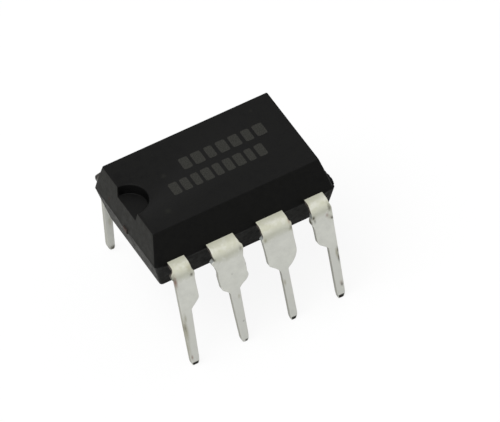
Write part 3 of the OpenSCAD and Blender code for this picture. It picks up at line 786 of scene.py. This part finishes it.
# Both edges of the strip at each station: the listed edges blurred by a bell curve, and the finger inside
def leadEdges(pin, column, y, fromTip):
    values = leadValues
    centre = (column - 1.5) * values["pitch"]
    fineStep, reach = 0.004, 25
    fine = np.arange(-0.2, 6.5, fineStep)
    kernel = np.exp(-0.5 * (np.arange(-reach, reach + 1) * fineStep / values["cornerBlur"]) ** 2)
    kernel /= kernel.sum()
    edges = []
    alike = {5: 4, 6: 3, 7: 2}.get(pin, pin)  # three hidden pins take the edges of those that face them
    for listed in (leftEdges[alike], rightEdges[alike]):
        distances, places = zip(*listed)
        curve = np.interp(fine, distances, places)
        smooth = np.convolve(np.pad(curve, reach, mode="edge"), kernel, mode="valid")
        edges.append(centre + np.interp(fromTip, fine, smooth))
    nearFinger, farFinger = fingerEdges(column, -y)
    inside = -y < values["root"] + 0.005
    return np.where(inside, nearFinger, edges[0]), np.where(inside, farFinger, edges[1])


# Points round the sheet's section: share of the way across, share of the way out through the sheet, and the
# offset at the rounded corners, which are rounder on the face that the punch met
def sheetSection():
    across, out, offsetX, offsetN = [], [], [], []

    def add(shareX, shareN, angles):
        for angle in np.radians(angles):
            across.append(shareX)
            out.append(shareN)
            offsetX.append(math.cos(angle))
            offsetN.append(math.sin(angle))

    add(0, 1, [180, 157, 135, 112, 90])
    for share in np.linspace(0, 1, 42)[1:-1]:
        add(share, 1, [90])
    add(1, 1, [90, 67, 45, 22, 0])
    for share in (0.95, 0.66, 0.33, 0.05):
        add(1, share, [0])
    add(1, 0, [0, -30, -60, -90])
    for share in np.linspace(1, 0, 12)[1:-1]:
        add(share, 0, [-90])
    add(0, 0, [-90, -120, -150, -180])
    for share in (0.05, 0.33, 0.66, 0.95):
        add(0, share, [-180])
    return np.array(across), np.array(out), np.array(offsetX), np.array(offsetN)


# A stain's strength falls as the bell curve of its distance from the middle, measured in its half sizes
def stainShare(pin, kind, distance, beside, out):
    total = np.zeros(distance.shape)
    for name, along, off, halfLong, halfWide, strength in stains[pin]:
        if name == kind:
            far = ((distance - along) / halfLong) ** 2 + ((beside - off) / halfWide) ** 2
            rolled = smoothStep(0.1, 0.5, out)[None] if kind == "darkCutAndShade" else 1
            total = np.maximum(total, strength * rolled * np.exp(-0.7 * far))
    return total


# Writes where a lead is worn or painted with shade: each kind rises and falls with the distance from the tip,
# on the faces or the sheared sides that it belongs to. A sum of two sines makes the bend's edge wander.
def wearLead(piece, pin, distance, beside, fromEdge):
    column = pin - 1 if pin < 5 else 8 - pin
    across, out, offsetX, offsetN = sheetSection()
    outer = np.clip(offsetN, 0, 1)[None] * (out[None] > 0.5)
    side = smoothStep(0.8, 0.99, np.abs(offsetX))[None] * np.ones(distance.shape)
    wander = distance + 0.03 * np.sin(5 * beside + 2 * column) + 0.015 * np.sin(13 * beside + 3 * column)
    rising = smoothStep(*wearPlaces["rising"], wander) * (1 - smoothStep(*wearPlaces["risen"], wander))
    tieCut = smoothStep(*wearPlaces["tieCut"], distance) * (1 - smoothStep(*wearPlaces["tieEnd"], distance))
    # the legs are duller towards the tips, below about 2.6 to 3.8 mm up
    setAttribute(piece, "nearTip", 1 - smoothStep(*wearPlaces["nearTip"], distance))
    setAttribute(piece, "bendTint", smoothStep(*wearPlaces["bend"], wander))
    topOfBend = smoothStep(*wearPlaces["topOfBend"], distance)
    # painted shade: a band where the leg turns into the bend, and the shade beside the moulding at the bend's
    # top
    setAttribute(piece, "bendShade", (0.4 * rising + 0.5 * topOfBend) * outer)
    # painted shade on the sheared sides from the shoulder up
    setAttribute(piece, "shoulderSideShade", 0.9 * side * smoothStep(*wearPlaces["shoulderSideShade"], distance))
    setAttribute(piece, "sheared", side)
    setAttribute(piece, "tieCut", 0.8 * side * tieCut)
    for kind in ("brownish", "reddish", "darkened"):
        setAttribute(piece, kind, stainShare(pin, kind, distance, beside, out))
    # the tip's bare cut face, darker than bare metal alone as painted contact shade
    low, high, bare = cutEnds.get(pin, cutEnds[3])
    tip = 1 - smoothStep(high - 0.03, high, distance)
    bareWidth = smoothStep(0.02, 0.05, fromEdge) * smoothStep(low - 0.03, low + 0.03, beside)
    cutEnd = bare * tip * np.maximum(bareWidth * outer, np.where(distance < 0.02, 1, 0))
    setAttribute(piece, "darkCutAndShade", np.maximum(cutEnd, stainShare(pin, "darkCutAndShade", distance, beside, out)))


# The section carried along the course: each point lies between the two edges and the two faces, drawn in by
# its corner's radius and moved back by the radius times its direction. The sheared end is rounded by its
# radius x (1 - the root of 1 - share squared), and the sheet thins out towards it in proportion.
def makeLead(pin):
    values = leadValues
    column = pin - 1 if pin < 5 else 8 - pin
    y, z, turn, fromTip = leadCourse(column)
    left, right = leadEdges(pin, column, y, fromTip)
    across, out, offsetX, offsetN = sheetSection()
    slant = values["slantDepth"] * np.clip(1 - fromTip / values["slantHeight"], 0, 1)
    thick = (values["sheet"] - slant)[:, None]
    short = np.clip(1 - fromTip / values["endRound"], 0, 1)
    inset = (values["endRound"] * (1 - np.sqrt(1 - short ** 2)))[:, None]
    left, right = left[:, None] + inset, right[:, None] - inset
    radius = values["innerRound"] + (values["outerRound"] - values["innerRound"]) * out
    radius = np.minimum(radius[None], 0.45 * np.minimum(right - left, thick - 2 * inset).clip(0.001))
    x = (1 - across) * (left + radius) + across * (right - radius) + radius * offsetX
    depth = (1 - out) * (inset + radius) + out * (thick - inset - radius) + radius * offsetN
    pointY = y[:, None] - depth * np.sin(turn)[:, None]
    pointZ = z[:, None] + depth * np.cos(turn)[:, None]
    points = np.stack([x, pointY, pointZ], axis=-1)
    if pin > 4:
        points = points * np.array([1, -1, 1])
    points = points + np.array([0, values["frameOffset"], 0])
    piece = makePiece("formed_lead_%d" % pin, points, tubeFaces(*x.shape), satinTinPlate)
    piece.data.set_sharp_from_angle(angle=math.radians(50))
    distance = np.broadcast_to(fromTip[:, None], x.shape)
    beside = x - (column - 1.5) * values["pitch"]
    wearLead(piece, pin, distance, beside, np.minimum(x - left, right - x))
    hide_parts("lead_%d" % pin)
    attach(piece, "root")
    return piece


leads = [makeLead(pin) for pin in range(1, 9)]
print("leads made with", len(leads[0].data.polygons), "faces each")

# Worn marking: two rows of plain rounded blocks, with no letters or figures
markValues = {
    "rows": [{"start": -1.28, "stop": 3.2, "low": 0.25, "high": 1.0, "cells": 7},
             {"start": -2.37, "stop": 2.6, "low": -0.93, "high": -0.15, "cells": 9}],
    "fill": 0.72,  # share of a cell that its block takes up
    "unevenness": 0.12,  # share by which the blocks' widths differ
    "round": 0.09,
    "proud": 0.003, "sunk": 0.01,  # how far a block stands out of the top face and reaches into it
}


# Each row is shared out in cells, and a cell's block is as wide as its filled share, more or less by a sine
def makeMarking():
    values = markValues
    signs, offsets = roundedOutline(5, 4, 4)
    top = bodyValues["top"]
    points, faces, count = [], [], 0
    for number, row in enumerate(values["rows"]):
        cell = (row["stop"] - row["start"]) / row["cells"]
        for k in range(row["cells"]):
            width = cell * values["fill"] * (1 + values["unevenness"] * math.sin(2.3 * k + number))
            centreX = row["start"] + cell * (k + 0.5)
            centreY = (row["low"] + row["high"]) / 2
            halfY = (row["high"] - row["low"]) / 2
            radius = values["round"]
            x = centreX + signs[:, 0] * (width / 2 - radius) + radius * offsets[:, 0]
            y = centreY + signs[:, 1] * (halfY - radius) + radius * offsets[:, 1]
            heights = np.array([top - values["sunk"], top + values["proud"]])[:, None]
            block = np.stack([np.broadcast_to(x, (2, len(x))), np.broadcast_to(y, (2, len(y))),
                              np.broadcast_to(heights, (2, len(x)))], axis=-1).reshape(-1, 3)
            points.append(block)
            faces += tubeFaces(2, len(x), count)
            count += len(block)
    piece = makePiece("top_marking", np.concatenate(points), faces, finishes["markingInk"], smooth=False)
    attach(piece, "root")


makeMarking()
print("marking made")

# The carried-over pieces keep their shapes and get their real finishes
innerFinishes = {"die_paddle": "shearedCopper", "die_attach": "silverGlue", "die": "polishedSilicon"}
innerFinishes.update({"bond_wire_%d" % pin: "drawnGold" for pin in range(1, 9)})
for node, finish in innerFinishes.items():
    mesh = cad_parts[node].data
    mesh.materials.clear()
    mesh.materials.append(finishes[finish])
print("inner pieces finished")
